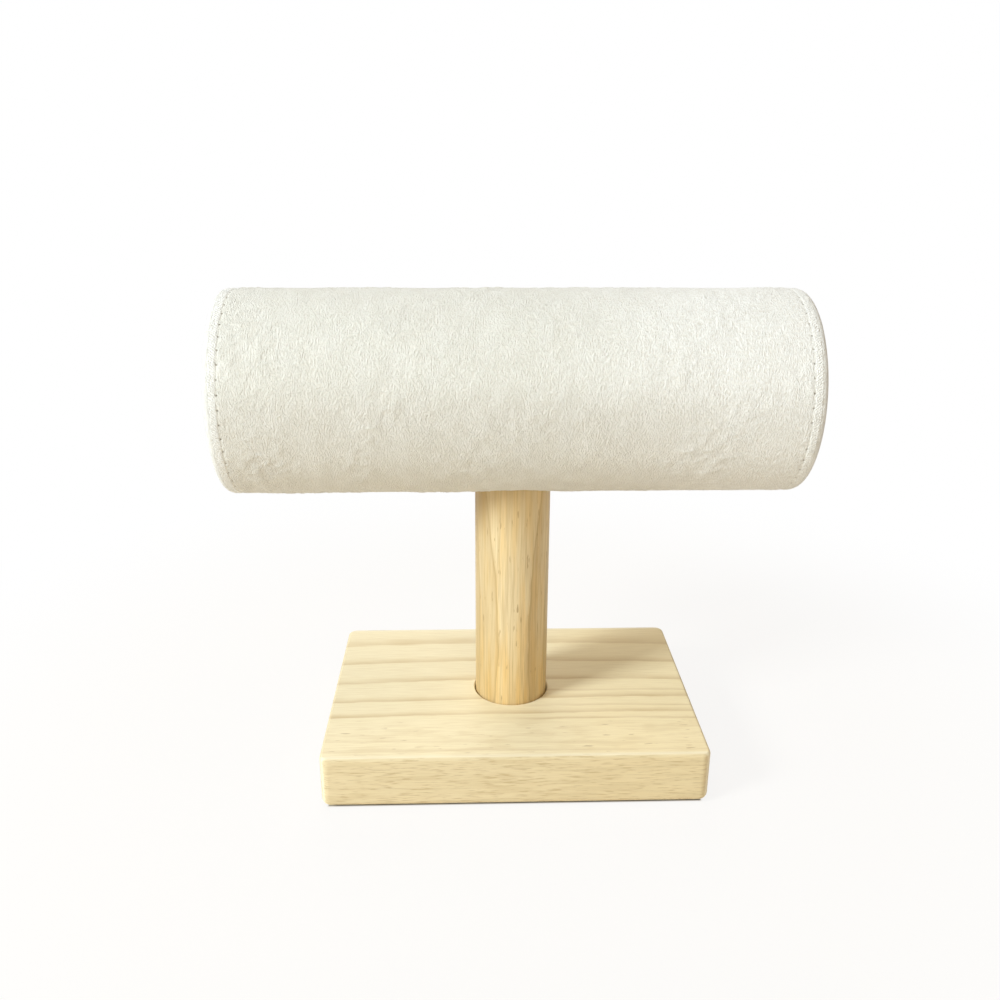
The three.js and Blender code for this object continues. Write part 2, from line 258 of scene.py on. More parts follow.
def board_outline(inset, height):
    """The board's rounded outline, drawn in by an inset, with corners and sides at set angles."""
    long = board_high.x - inset
    deep = board_high.y - inset
    corner = max(BOARD_CORNER - inset, BOARD_CORNER_LEAST)
    points = []
    for quarter in range(4):
        turn = quarter * math.pi / 2
        for step in range(BOARD_CORNER_STEPS + 1):
            angle = turn + step / BOARD_CORNER_STEPS * math.pi / 2
            side_x = 1 if quarter in (0, 3) else -1
            side_y = 1 if quarter in (0, 1) else -1
            x = side_x * (long - corner) + corner * math.cos(angle)
            y = side_y * (deep - corner) + corner * math.sin(angle)
            points.append((x, y, height))
        start = points[-1]
        count = BOARD_SIDE_STEPS[quarter % 2]
        next_x = start[0] if quarter % 2 else -start[0]
        next_y = -start[1] if quarter % 2 else start[1]
        for step in range(1, count):
            share = step / count
            x = start[0] + (next_x - start[0]) * share
            y = start[1] + (next_y - start[1]) * share
            points.append((x, y, height))
    return points


board_bearings = [math.atan2(y, x) for x, y, z in board_outline(0, 0)]


def board_hole(radius, height):
    """A round hole in the board with one point for each point of the outline."""
    return [(radius * math.cos(a), radius * math.sin(a), height) for a in board_bearings]


def board_rounding(radius, level_z, upward):
    """Outlines that turn from the flat face to the upright sides, flat face first."""
    rings = []
    for step in range(BOARD_ROUND_STEPS + 1):
        angle = step / BOARD_ROUND_STEPS * math.pi / 2
        drop = radius * (1 - math.cos(angle))
        rings.append(board_outline(radius * (1 - math.sin(angle)), level_z - upward * drop))
    return rings


socket_radius = post_high.x + SOCKET_PLAY
counterbore_radius = washer_high.x + COUNTERBORE_PLAY
socket_floor = post_low.z - SOCKET_FLOOR_GAP
board_rings = [
    board_hole(SCREW_HOLE_RADIUS, washer_high.z),
    board_hole(SCREW_HOLE_RADIUS, socket_floor),
    board_hole(socket_radius, socket_floor),
    board_hole(socket_radius, board_high.z - SOCKET_CHAMFER),
    board_hole(socket_radius + SOCKET_CHAMFER, board_high.z),
    *board_rounding(BOARD_TOP_ROUND, board_high.z, 1),
    *reversed(board_rounding(BOARD_BOTTOM_ROUND, board_low.z, -1)),
    board_hole(counterbore_radius, board_low.z),
    board_hole(counterbore_radius, washer_high.z),
]

EARLY_WOOD = colour(0.935, 0.84, 0.595)
LATE_WOOD = colour(0.63, 0.475, 0.255)
EDGE_WOOD = colour(0.70, 0.59, 0.365)
WARMER_RIGHT_WOOD = colour(0.915, 0.785, 0.50)
STREAK_WOOD = colour(0.47, 0.345, 0.175)
RESIN = colour(0.40, 0.26, 0.12)
PAINTED_HIGHLIGHT_WOOD = colour(0.97, 0.90, 0.69)
# Each growth ring on the board's top: its place across the board at the left end, the middle and
# the right end, how far its tan shade reaches behind it, its strength, and where it sets in, which
# is RING_WHOLE for one that runs from end to end.
RING_WHOLE = -90
GROWTH_RINGS = (
    (33.6, 36.0, 33.0, 9.0, 0.50, RING_WHOLE),
    (18.0, 20.3, 17.3, 5.5, 0.58, RING_WHOLE),
    (2.2, 5.0, 3.2, 5.0, 0.62, RING_WHOLE),
    (-6.0, -4.2, -5.2, 2.4, 0.42, 4),
    (-11.4, -9.8, -9.3, 4.5, 0.66, RING_WHOLE),
    (-16.5, -15.2, -16.0, 1.8, 0.36, 8),
    (-21.9, -20.2, -19.7, 3.6, 0.62, RING_WHOLE),
    (-25.5, -24.2, -24.8, 2.2, 0.52, 2),
    (-30.0, -30.2, -30.6, 1.4, 0.30, 42),
    (-37.6, -39.6, -42.0, 3.4, 0.17, RING_WHOLE),
    (-44.6, -44.4, -46.0, 2.4, 0.27, RING_WHOLE),
)
RING_LEAN = 0.9
RING_BEND = 0.012
FLECK_ROW = 36
# How far in from the board's edge, in millimetres, its rounded side and its painted highlight strip start
# and end.
ROUNDED_FROM = 1.1
ROUNDED_FULL = 0.3
HIGHLIGHT_STRIP_FROM = 3.0
HIGHLIGHT_STRIP_FULL = 1.6
half_long = board_high.x / MM
half_deep = board_high.y / MM

pine = Finish("board_pine", {"Roughness": 0.5, "Specular IOR Level": 0.12})
spot = pine.place()
along, across, high = pine.parts(spot)
fibre = pine.mottle(spot, (13, 0.5, 0.5), 3.0)
wander = pine.mottle(spot, (40, 16, 16), 1.0) - 0.5
ripple = pine.mottle(spot, (7, 4, 4), 2.0) - 0.5
uneven = pine.mottle(spot, (26, 7, 7), 1.0)
depth = board_high.z / MM - high
ring_place = across + wander * 1.8 + ripple * 0.9 + (fibre - 0.5) * 1.3
ring_place = ring_place - depth * RING_LEAN + depth * depth * RING_BEND
share = along / half_long
bands = None
for ring_left, ring_middle, ring_right, reach, strength, start in GROWTH_RINGS:
    slope = (ring_right - ring_left) / 2
    bow = (ring_right + ring_left) / 2 - ring_middle
    behind = ring_place - (share * slope + share * share * bow + ring_middle)
    shade = pine.fade(behind, reach, 0) ** 1.2 + pine.fade(behind, 1.1, 0) * 0.25
    shade = shade * pine.fade(behind, -0.3 - reach * 0.13, 0.15)
    if start > RING_WHOLE:
        shade = shade * pine.fade(along, start - 12, start + 14)
    shade = shade * strength
    bands = shade if bands is None else bands.maths("MAXIMUM", bands, shade)
bands = bands * (0.20 + uneven * 1.3)
cloud = pine.mottle(spot, (45, 12, 12), 1.0)
fleck = pine.fade(pine.mottle(spot, (7.5, 1.0, 1.0), 2.0), 0.65, 0.74)
blotch = pine.fade(pine.mottle(spot, (15, 3.0, 3.0), 3.0), 0.46, 0.64)
fleck_zone = pine.fade(abs(across + FLECK_ROW), 14, 6) * 0.85 + 0.1
side = pine.fade(abs(across), half_deep - ROUNDED_FROM, half_deep - ROUNDED_FULL)
end = pine.fade(abs(along), half_long - ROUNDED_FROM, half_long - ROUNDED_FULL)
streak = pine.fade(pine.mottle(spot, (6.0, 1.2, 0.50), 2.5), 0.50, 0.70)
broad = pine.fade(pine.mottle(spot, (22, 3, 1.6), 1.5), 0.42, 0.66)
pore = pine.fade(pine.mottle(spot, (1, 0.4, 0.4), 2.0), 0.5, 0.66)
# The top grows warmer and a little darker towards the board's right end.
timber = pine.mixed(pine.fade(along, -10, 45) * 0.8, EARLY_WOOD, WARMER_RIGHT_WOOD)
timber = pine.mixed(bands, timber, LATE_WOOD)
timber = pine.mixed(blotch * fleck_zone * 0.24, timber, LATE_WOOD)
# Painted highlight: a pale strip on the flat top just inside its long rounded edges.
painted_edge_highlight = pine.fade(abs(across), half_deep - HIGHLIGHT_STRIP_FROM, half_deep - HIGHLIGHT_STRIP_FULL) * (1 - side)
timber = pine.mixed(painted_edge_highlight * 0.75, timber, PAINTED_HIGHLIGHT_WOOD)
timber = pine.mixed(side * (0.62 + broad * 0.3), timber, EDGE_WOOD)
timber = pine.mixed(side * streak * 0.6, timber, STREAK_WOOD)
timber = pine.mixed(end * 0.5, timber, EDGE_WOOD)
timber = pine.mixed(end * pore * 0.4, timber, LATE_WOOD)
timber = pine.mixed(pine.fade(fibre, 0.36, 0.68) * 0.22, timber, LATE_WOOD)
timber = pine.mixed(cloud * 0.14, timber, EDGE_WOOD)
timber = pine.mixed(fleck * fleck_zone * (1 - side) * 0.68, timber, RESIN)
pine.feed("Base Color", timber)
pine.feed("Roughness", 0.44 + fibre * 0.12 + bands * 0.06)
pine.relief(fibre * 0.6 + bands * 0.4, 0.06 * MM)

board = shown("pine_base_board", lofted("pine_base_board", board_rings, closed=True), pine)
board.modifiers.new("flat_faces", "WEIGHTED_NORMAL").keep_sharp = True
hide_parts("base_board")
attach(board, "base")


# Felt pads: four pressed felt rounds, cut with a punch and glued under the board's corners.
# Their cut edges are a little furry and slightly rounded over.
FELT_SIDES = 48
FELT_ROUND = 0.25 * MM
FELT_FUR = 0.07 * MM
FELT_FUR_PER_METRE = 1500
FELT_CENTRE_SHARE = 0.04
FELT_DARK = colour(0.150, 0.118, 0.088)
FELT_PALE = colour(0.255, 0.210, 0.165)

felt = Finish("pad_felt", {"Roughness": 0.95, "Specular IOR Level": 0.1, "Sheen Weight": 0.3})
spot = felt.place()
hairs = felt.mottle(spot, (0.5, 0.5, 0.3), 5.0)
tufts = felt.mottle(spot, (2.6, 2.6, 1.5), 2.0)
felt.feed("Base Color", felt.mixed(felt.fade(hairs * 0.7 + tufts * 0.3, 0.3, 0.7), FELT_DARK, FELT_PALE))
felt.relief(hairs, 0.12 * MM)


def felt_pad(node):
    """One felt round in the place of its CAD pad."""
    low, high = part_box(node)
    middle = (low + high) / 2
    radius = (high.x - low.x) / 2
    profile = [
        (radius * FELT_CENTRE_SHARE, low.z),
        (radius * 0.5, low.z),
        (radius - FELT_ROUND, low.z),
        (radius, low.z + FELT_ROUND),
        (radius, high.z - FELT_ROUND),
        (radius - FELT_ROUND, high.z),
        (radius * 0.5, high.z),
        (radius * FELT_CENTRE_SHARE, high.z),
    ]
    rings = []
    for reach, height in profile:
        ring = []
        for column in range(FELT_SIDES):
            angle = column / FELT_SIDES * 2 * math.pi
            x = middle.x + reach * math.cos(angle)
            y = middle.y + reach * math.sin(angle)
            point = Vector((x, y, height))
            fur = FELT_FUR * noise.noise(point * FELT_FUR_PER_METRE)
            stretch = 1 + fur / radius
            x = middle.x + (point.x - middle.x) * stretch
            y = middle.y + (point.y - middle.y) * stretch
            ring.append((x, y, height))
        rings.append(ring)
    pad = shown("felt_" + node, lofted("felt_" + node, rings), felt)
    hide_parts(node)
    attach(pad, "base")


for end_name in ("front", "rear"):
    for side_name in ("left", "right"):
        felt_pad("foot_pad_" + end_name + "_" + side_name)


# Base screw and its washer: a pan head wood screw up through the board into the post's end,
# in bright zinc plate that has dulled unevenly. The two screws in the roll's block are plated alike.
ZINC_BRIGHT = colour(0.62, 0.63, 0.64)
ZINC_DULL = colour(0.42, 0.43, 0.43)

zinc = Finish("screw_zinc", {"Metallic": 1.0, "Roughness": 0.35})
spot = zinc.place()
bloom = zinc.mottle(spot, (2.2, 2.2, 2.2), 4.0)
scratch = zinc.mottle(spot, (0.15, 2.5, 0.3), 3.0)
zinc.feed("Base Color", zinc.mixed(zinc.fade(bloom, 0.35, 0.65), ZINC_BRIGHT, ZINC_DULL))
zinc.feed("Roughness", 0.26 + bloom * 0.25)
zinc.relief(scratch, 0.02 * MM)


def refinish(finish, *nodes):
    """Gives CAD nodes that stay in view their finish."""
    for node in nodes:
        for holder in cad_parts[node].material_slots:
            holder.material = finish.material


refinish(zinc, "base_screw", "base_screw_washer", "block_screw_left", "block_screw_right")


# Post: a turned pine dowel with chamfered ends that stands in the board's socket and plugs into the roll.
# It is cut near the bark side, so its growth rings open as an hourglass of lines up its front.
POST_SIDES = 96
POST_CHAMFER = 1.0 * MM
POST_PILOT_RADIUS = 2.3 * MM
HONEY_EARLY = colour(0.79, 0.655, 0.405)
HONEY_LATE = colour(0.42, 0.28, 0.115)
HONEY_GOLD = colour(0.83, 0.595, 0.265)
HOURGLASS_MIDDLE = 49
HOURGLASS_REACH = 50
HOURGLASS_BOW = 2.4
HONEY_RING_FIRST = -13.0
HONEY_RING_PITCH = 6.2

honey = Finish("post_pine", {"Roughness": 0.42, "Specular IOR Level": 0.2})
spot = honey.place()
sideways, inward, up = honey.parts(spot)
waist = (up - HOURGLASS_MIDDLE) / HOURGLASS_REACH
wander = honey.mottle(spot, (7, 7, 28), 2.0) - 0.5
waver = honey.mottle(spot, (3, 3, 10), 2.0) - 0.5
layer = inward - waist * waist * HOURGLASS_BOW + wander * 1.2 + waver * 0.5
ring = ((layer - HONEY_RING_FIRST) / HONEY_RING_PITCH).fraction()
late = honey.fade(ring, 1.0, 0.0) * 0.45 + honey.fade(ring, 0.13, 0.0) * 0.65
late = late * honey.fade(ring, 0.0, 0.03) + honey.fade(ring, 0.96, 1.0) * 0.4
fibre = honey.mottle(spot, (0.42, 0.42, 14), 3.0)
glow = honey.mottle(spot, (2.6, 2.6, 30), 2.0)
vessel = honey.fade(honey.mottle(spot, (0.95, 0.95, 42), 2.0), 0.48, 0.66)
dash = honey.fade(honey.mottle(spot, (0.75, 0.75, 6.0), 1.0), 0.69, 0.75)
golden = honey.fade(glow, 0.38, 0.68) * 0.55 + honey.fade(up, 62, 22) * 0.52
timber = honey.mixed(golden, HONEY_EARLY, HONEY_GOLD)
timber = honey.mixed(late * 0.62, timber, HONEY_LATE)
timber = honey.mixed(honey.fade(fibre, 0.40, 0.72) * 0.34, timber, HONEY_LATE)
timber = honey.mixed(vessel * 0.24, timber, HONEY_LATE)
# Painted shade: the post's left side and its top, under the roll, are darkened towards late wood.
painted_post_shade = honey.fade(sideways, -5, -13) * 0.36 + honey.fade(up, 84, 106) * 0.28
timber = honey.mixed(painted_post_shade, timber, HONEY_LATE)
timber = honey.mixed(dash * 0.7, timber, RESIN)
honey.feed("Base Color", timber)
honey.feed("Roughness", 0.38 + fibre * 0.14)
honey.relief(fibre * 0.7 + late * 0.3, 0.06 * MM)

post_radius = post_high.x
post_profile = [
    (POST_PILOT_RADIUS, post_low.z),
    (post_radius - POST_CHAMFER, post_low.z),
    (post_radius, post_low.z + POST_CHAMFER),
    (post_radius, post_high.z - POST_CHAMFER),
    (post_radius - POST_CHAMFER, post_high.z),
    (POST_PILOT_RADIUS, post_high.z),
]


def post_ring(reach, height):
    """A round of points about the post's axis."""
    bearings = [column / POST_SIDES * 2 * math.pi for column in range(POST_SIDES)]
    return [(reach * math.cos(a), reach * math.sin(a), height) for a in bearings]


post_rings = [post_ring(reach, height) for reach, height in post_profile]
post = shown("pine_post", lofted("pine_post", post_rings), honey)
post.modifiers.new("flat_faces", "WEIGHTED_NORMAL").keep_sharp = True
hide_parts("post")
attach(post, "post")


# Core tube and end boards: a spirally wound card tube stiffens the roll, with a card round in each end.
# The CAD solids are right as they are; the card shows its winding lines and pressed fibres.
CARD_PALE = colour(0.50, 0.36, 0.21)
CARD_DARK = colour(0.36, 0.245, 0.13)
WINDING_PITCH = 42
WINDING_JOINT = 0.018

card = Finish("wound_card", {"Roughness": 0.85, "Specular IOR Level": 0.2})
spot = card.place()
along, across, high = card.parts(spot)
roll_low, roll_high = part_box("cover_sleeve")
axis_z = (roll_low.z + roll_high.z) / 2
about = across.maths("ARCTAN2", across, high - axis_z / MM)
winding = (along / WINDING_PITCH + about / (2 * math.pi)).fraction()
joint = card.fade(winding, WINDING_JOINT, 0.0) + card.fade(winding, 1 - WINDING_JOINT, 1.0)
pulp = card.mottle(spot, (1.4, 0.5, 0.5), 4.0)
card.feed("Base Color", card.mixed(pulp * 0.6 + joint * 0.5, CARD_PALE, CARD_DARK))
card.relief(pulp * 0.4 + (1 - joint) * 0.6, 0.15 * MM)
refinish(card, "core_tube", "end_board_left", "end_board_right")


# Socket block: a raw wood block glued across the middle of the core tube; the post plugs into its bore.
# It is rough sawn and left without finish.
RAW_PALE = colour(0.70, 0.53, 0.31)
RAW_DARK = colour(0.50, 0.345, 0.175)

raw = Finish("raw_block_wood", {"Roughness": 0.75, "Specular IOR Level": 0.2})
spot = raw.place()
saw = raw.mottle(spot, (14, 0.8, 0.8), 3.0)
grain = raw.mottle(spot, (40, 4, 4), 2.0)
raw.feed("Base Color", raw.mixed(raw.fade(saw * 0.5 + grain * 0.5, 0.35, 0.65), RAW_PALE, RAW_DARK))
raw.relief(saw, 0.12 * MM)
refinish(raw, "socket_block")


# Padding: a wrap of loose polyester wadding round the core tube, open underneath where the post goes in.
# It makes the roll soft to the hand and lies unseen under the velvet.
WADDING_SIDES = 120
WADDING_ROWS = 60
WADDING_LUMP = 0.12 * MM
WADDING_LUMPS_PER_METRE = 180
WADDING_GAP = 0.3 * MM
PUNCH_BELOW = 5 * MM
WADDING_WHITE = colour(0.86, 0.85, 0.80)
WADDING_SHADE = colour(0.66, 0.65, 0.60)

wadding = Finish("loose_wadding", {"Roughness": 1.0, "Specular IOR Level": 0.05, "Sheen Weight": 0.4})
spot = wadding.place()
wisps = wadding.mottle(spot, (1.2, 0.6, 0.6), 6.0)
wadding.feed("Base Color", wadding.mixed(wadding.fade(wisps, 0.35, 0.7), WADDING_SHADE, WADDING_WHITE))
wadding.relief(wisps, 0.4 * MM)

padding_low, padding_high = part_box("padding")
tube_low, tube_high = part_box("core_tube")
wadding_outside = (padding_high.z - padding_low.z) / 2 - WADDING_LUMP
wadding_inside = (tube_high.z - tube_low.z) / 2 + WADDING_GAP


def roll_point(x, radius, angle):
    """A point of the roll: angle 0 is its top and a quarter turn its front."""
    return (x, -radius * math.sin(angle), axis_z + radius * math.cos(angle))


def with_post_hole(mesh, name):
    """The same skin with a round hole underneath that the post passes through."""
    rings = [post_ring(socket_radius, height) for height in (roll_low.z - PUNCH_BELOW, axis_z)]
    punch_mesh = lofted(name + "_punch", rings)
    smoothed(mesh)
    smoothed(punch_mesh)
    blank = bpy.data.objects.new(name + "_blank", mesh)
    punch = bpy.data.objects.new(name + "_punch", punch_mesh)
    scene.collection.objects.link(blank)
    scene.collection.objects.link(punch)
    cut = blank.modifiers.new("post_hole", "BOOLEAN")
    cut.operation = "DIFFERENCE"
    cut.solver = "MANIFOLD"
    cut.object = punch
    depsgraph = bpy.context.evaluated_depsgraph_get()
    result = bpy.data.meshes.new_from_object(blank.evaluated_get(depsgraph))
    result.name = name
    bpy.data.objects.remove(blank)
    bpy.data.objects.remove(punch)
    return result


wadding_angles = [column / WADDING_SIDES * 2 * math.pi for column in range(WADDING_SIDES)]
wadding_rings = []
for row in range(WADDING_ROWS + 1):
    x = padding_low.x + (padding_high.x - padding_low.x) * row / WADDING_ROWS
    ring = []
    for angle in wadding_angles:
        surface = Vector(roll_point(x, wadding_outside, angle))
        lump = WADDING_LUMP * noise.noise(surface * WADDING_LUMPS_PER_METRE)
        ring.append(roll_point(x, wadding_outside + lump, angle))
    wadding_rings.append(ring)
for x in (padding_high.x, padding_low.x):
    wadding_rings.append([roll_point(x, wadding_inside, angle) for angle in wadding_angles])
wadding_mesh = with_post_hole(lofted("roll_wadding", wadding_rings, closed=True), "roll_wadding")
padding = shown("roll_wadding", wadding_mesh, wadding)
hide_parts("padding")
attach(padding, "roll")


# Velvet sleeve: ivory crushed velvet drawn tight round the padding, with a lengthwise seam underneath.
# Each end is turned in and topstitched, which raises a puffy hem outside the row of needle holes.
VELVET_THICK = 1.0 * MM
VELVET_STITCHES = 46
VELVET_STITCH_COLUMNS = (0, 0.06, 0.15, 0.31, 0.5, 0.69, 0.85, 0.94)
VELVET_ROW = 0.96 * MM
HEM_TURN = 7.0 * MM
HEM_FOLD = 0.16 * MM
HEM_FOLD_STEPS = 7
HEM_ROW = 0.22 * MM
HEM_ROWS = 18
HEM_REACH = 0.28 * MM
HEM_STEP = 0.5 * MM
HEM_FADE = 0.8 * MM
HEM_PUFF = 0.04 * MM
HEM_PUFF_INSET = 1.5 * MM
HEM_PUFF_HALF = 1.2 * MM
HEM_PUCKER = 0.03 * MM
HEM_TWIST = 0.04 * MM
HEM_TWIST_ROUND = 1.75 * MM
HEM_TWIST_ALONG = 2.6 * MM
STITCH_INSET = 2.75 * MM
GROOVE_DEPTH = 0.08 * MM
GROOVE_HALF = 0.55 * MM
NEEDLE_DEPTH = 0.50 * MM
NEEDLE_HALF = 0.28 * MM
SEAM_DEPTH = 0.55 * MM
SEAM_HALF = 0.8 * MM
CRUMPLE = 0.38 * MM
CRUMPLE_FADE = 1.4 * MM
CREASE_DRIFT = 3.0
CREASE_DRIFT_SIZE = 11
VEIN_SIZE = (3.6, 6.5)
SMALL_CREASE_SIZE = (2.3, 3.8)
CRUSHED_PATCH_SIZE = 24
SWELL_SIZE = 8
POST_TUCK = 0.35 * MM
POST_TUCK_REACH = 7.0 * MM
GATHER_SHARE = 0.08
GATHER_COUNT = 18
PILE_DEPTH = 0.50 * MM
NAP_SWAY = 2.2
PUCKER_DEPTH = 0.07 * MM
PUCKER_INSET = 1.6 * MM
PUCKER_HALF = 2.4 * MM
PUCKER_PITCH = 0.95
PUCKER_SLANT = 1.3
IVORY = colour(0.79, 0.80, 0.75)
IVORY_SHADE = colour(0.675, 0.655, 0.597)
IVORY_LIGHT = colour(0.925, 0.945, 0.935)
NEEDLE_HOLE_SHADE = colour(0.23, 0.20, 0.15)

sleeve_radius = (roll_high.z - roll_low.z) / 2
sleeve_half = roll_high.x + HEM_REACH


def crease_line(across, along, size, layer, sharpness):
    """1 along the middle of a crease and 0 away from it."""
    height = noise.noise(Vector((across / size[0], along / size[1], layer)))
    return 1 - min(1, abs(height) * sharpness)


def crumple(x, arc):
    """The crushed pile's creases at a place along and round the roll, from about -0.1 to 1.5."""
    place = Vector((x / MM, arc / MM, 0))
    drift_x = noise.noise(place / CREASE_DRIFT_SIZE + Vector((31.4, 0, 2.7)))
    drift_y = noise.noise(place / CREASE_DRIFT_SIZE + Vector((0, 47.1, 8.3)))
    place = place + Vector((drift_x, drift_y, 0)) * CREASE_DRIFT
    across = (place.x + place.y) * math.sqrt(0.5)
    along = (place.x - place.y) * math.sqrt(0.5)
    vein = crease_line(across, along, VEIN_SIZE, 3.7, 5.0)
    small = crease_line(across, along, SMALL_CREASE_SIZE, 9.1, 4.0)
    patch = noise.noise(place / CRUSHED_PATCH_SIZE + Vector((5, 2, 8)))
    patch = min(1, max(0.08, 0.34 + patch * 1.9))
    swell = noise.noise(place / SWELL_SIZE + Vector((1, 7, 3)))
    return (vein * 0.9 + small * 0.5) * patch + swell * 0.10


def bell(distance, half):
    """1 at no distance, falling away softly on both sides."""
    return math.exp(-(distance / half) ** 2)


def velvet_height(x, angle):
    """How far the velvet stands proud of its true round at a place along and round the roll."""
    inset = sleeve_half - abs(x)
    arc = sleeve_radius * angle
    pitch = 2 * math.pi * sleeve_radius / VELVET_STITCHES
    to_hole = (arc / pitch - round(arc / pitch)) * pitch
    body = min(1, max(0, (inset - STITCH_INSET) / CRUMPLE_FADE))
    hem = min(1, inset / HEM_FOLD) * min(1, max(0, (STITCH_INSET - inset) / HEM_FADE))
    height = CRUMPLE * crumple(x, arc) * body
    pucker = math.cos(2 * math.pi * arc / pitch)
    height -= PUCKER_DEPTH * pucker * bell(inset - STITCH_INSET - PUCKER_INSET, PUCKER_HALF) * body
    twist = math.sin(2 * math.pi * (arc / HEM_TWIST_ROUND + inset / HEM_TWIST_ALONG))
    puff = HEM_PUFF * bell(inset - HEM_PUFF_INSET, HEM_PUFF_HALF)
    height += hem * (puff + HEM_TWIST * twist - HEM_PUCKER * pucker)
    height -= GROOVE_DEPTH * bell(inset - STITCH_INSET, GROOVE_HALF)
    height -= NEEDLE_DEPTH * bell(to_hole, NEEDLE_HALF) * bell(inset - STITCH_INSET, NEEDLE_HALF)
    to_seam = (math.pi - abs(angle)) * sleeve_radius
    height -= SEAM_DEPTH * bell(to_seam, SEAM_HALF)
    if abs(angle) > math.pi / 2:
        to_post = math.hypot(x, sleeve_radius * math.sin(angle)) - socket_radius
        tuck = min(1, max(0, 1 - to_post / POST_TUCK_REACH))
        gather = 1 + GATHER_SHARE * math.cos(GATHER_COUNT * math.atan2(sleeve_radius * math.sin(angle), x))
        height -= POST_TUCK * tuck * tuck * gather
    return height


fold_angles = [step / HEM_FOLD_STEPS * math.pi / 2 for step in range(HEM_FOLD_STEPS + 1)]
velvet_insets = [HEM_FOLD * (1 - math.cos(a)) for a in fold_angles]
velvet_insets += [HEM_FOLD + HEM_ROW * step for step in range(1, HEM_ROWS + 1)]
body_length = 2 * (sleeve_half - velvet_insets[-1])
body_rows = math.ceil(body_length / VELVET_ROW)
outside_places = [inset - sleeve_half for inset in velvet_insets]
outside_places += [body_length * (row / body_rows - 0.5) for row in range(1, body_rows)]
outside_places += [sleeve_half - inset for inset in reversed(velvet_insets)]
velvet_columns = [stitch + share for stitch in range(VELVET_STITCHES) for share in VELVET_STITCH_COLUMNS]
velvet_angles = [column / VELVET_STITCHES * 2 * math.pi - math.pi for column in velvet_columns]

velvet_rings = []
for x in outside_places:
    fold = max(0, 1 - (sleeve_half - abs(x)) / HEM_FOLD)
    round_over = sleeve_radius - HEM_FOLD * (1 - math.sqrt(max(0, 1 - fold * fold)))
    velvet_rings.append([roll_point(x, round_over + velvet_height(x, a), a) for a in velvet_angles])
hem_inside = sleeve_radius - 2 * VELVET_THICK
hem_end = sleeve_half - HEM_TURN
inside_half = [(sleeve_half, sleeve_radius - VELVET_THICK)]
for a in (0, math.pi / 8, math.pi / 4, 3 * math.pi / 8, math.pi / 2):
    x = sleeve_half - HEM_FOLD * (1 - math.cos(a))
    inside_half.append((x, hem_inside + HEM_FOLD * (1 - math.sin(a))))
inside_half += [(hem_end, hem_inside), (hem_end - HEM_STEP, sleeve_radius - VELVET_THICK)]
inside = inside_half + [(-x, radius) for x, radius in reversed(inside_half)]
for x, radius in inside:
    velvet_rings.append([roll_point(x, radius, a) for a in velvet_angles])

VELVET_SURFACE = {
    "Roughness": 0.9,
    "Specular IOR Level": 0.15,
    "Sheen Weight": 0.25,
    "Sheen Roughness": 0.5,
}
velvet = Finish("crushed_velvet", VELVET_SURFACE)


def velvet_nap(finish, flat, ground):
    """The crushed pile over a ground colour, by a place laid out flat: its tone and the pile's height."""
    sway = finish.node("ShaderNodeTexNoise", {}, {"Vector": flat, "Scale": 0.12, "Detail": 2.0}, "Color")
    sway = finish.node("ShaderNodeVectorMath", {"operation": "SUBTRACT"}, {0: sway, 1: (0.5, 0.5, 0.5)})
    sockets = {0: sway, 1: (NAP_SWAY, NAP_SWAY, 0), 2: flat}
    bent = finish.node("ShaderNodeVectorMath", {"operation": "MULTIPLY_ADD"}, sockets)
    rib = finish.mottle(bent, (0.42, 2.0, 1.0), 2.0)
    curl = finish.mottle(bent, (0.85, 1.5, 1.0), 2.5)
    curl = finish.fade(abs(curl - 0.5), 0.085, 0.0)
    tuft = finish.mottle(bent, (0.75, 1.15, 1.0), 3.0)
    crushed = finish.fade(finish.mottle(flat, (20, 16, 20), 1.0), 0.46, 0.64)
    crease = finish.mottle(bent, (3.2, 4.6, 3.0), 2.0)
    crease = finish.fade(abs(crease - 0.5), 0.05, 0.0) * crushed
    nap = finish.mottle(flat, (6, 9, 6), 3.0)
    brushed_nap_and_painted_light = finish.mottle(flat, (26, 30, 26), 1.0)
    pile = rib * 0.45 + curl * 0.24 + tuft * 0.5 + crease * 0.16
    # Painted shade: the tone darkens where the pile is low, in its hollows.
    tone = finish.mixed(finish.fade(pile, 0.70, 0.28) * 0.7, ground, IVORY_SHADE)
    tone = finish.mixed(finish.fade(nap, 0.42, 0.62) * 0.16, tone, IVORY_LIGHT)
    tone = finish.mixed(finish.fade(brushed_nap_and_painted_light, 0.4, 0.65) * 0.08, tone, IVORY_SHADE)
    finish.feed("Roughness", 0.82 + nap * 0.16)
    return tone, pile


spot = velvet.place()
along, across, high = velvet.parts(spot)
turn = across.maths("ARCTAN2", across * -1, high - axis_z / MM)
arc = turn * (sleeve_radius / MM)
flat = velvet.joined(along, arc, 0.0)
# Painted light: the velvet's ground colour grows paler towards the roll's right end.
brushed_nap_and_painted_light = velvet.mixed(velvet.fade(along, 0, 70) * 0.9, IVORY, IVORY_LIGHT)
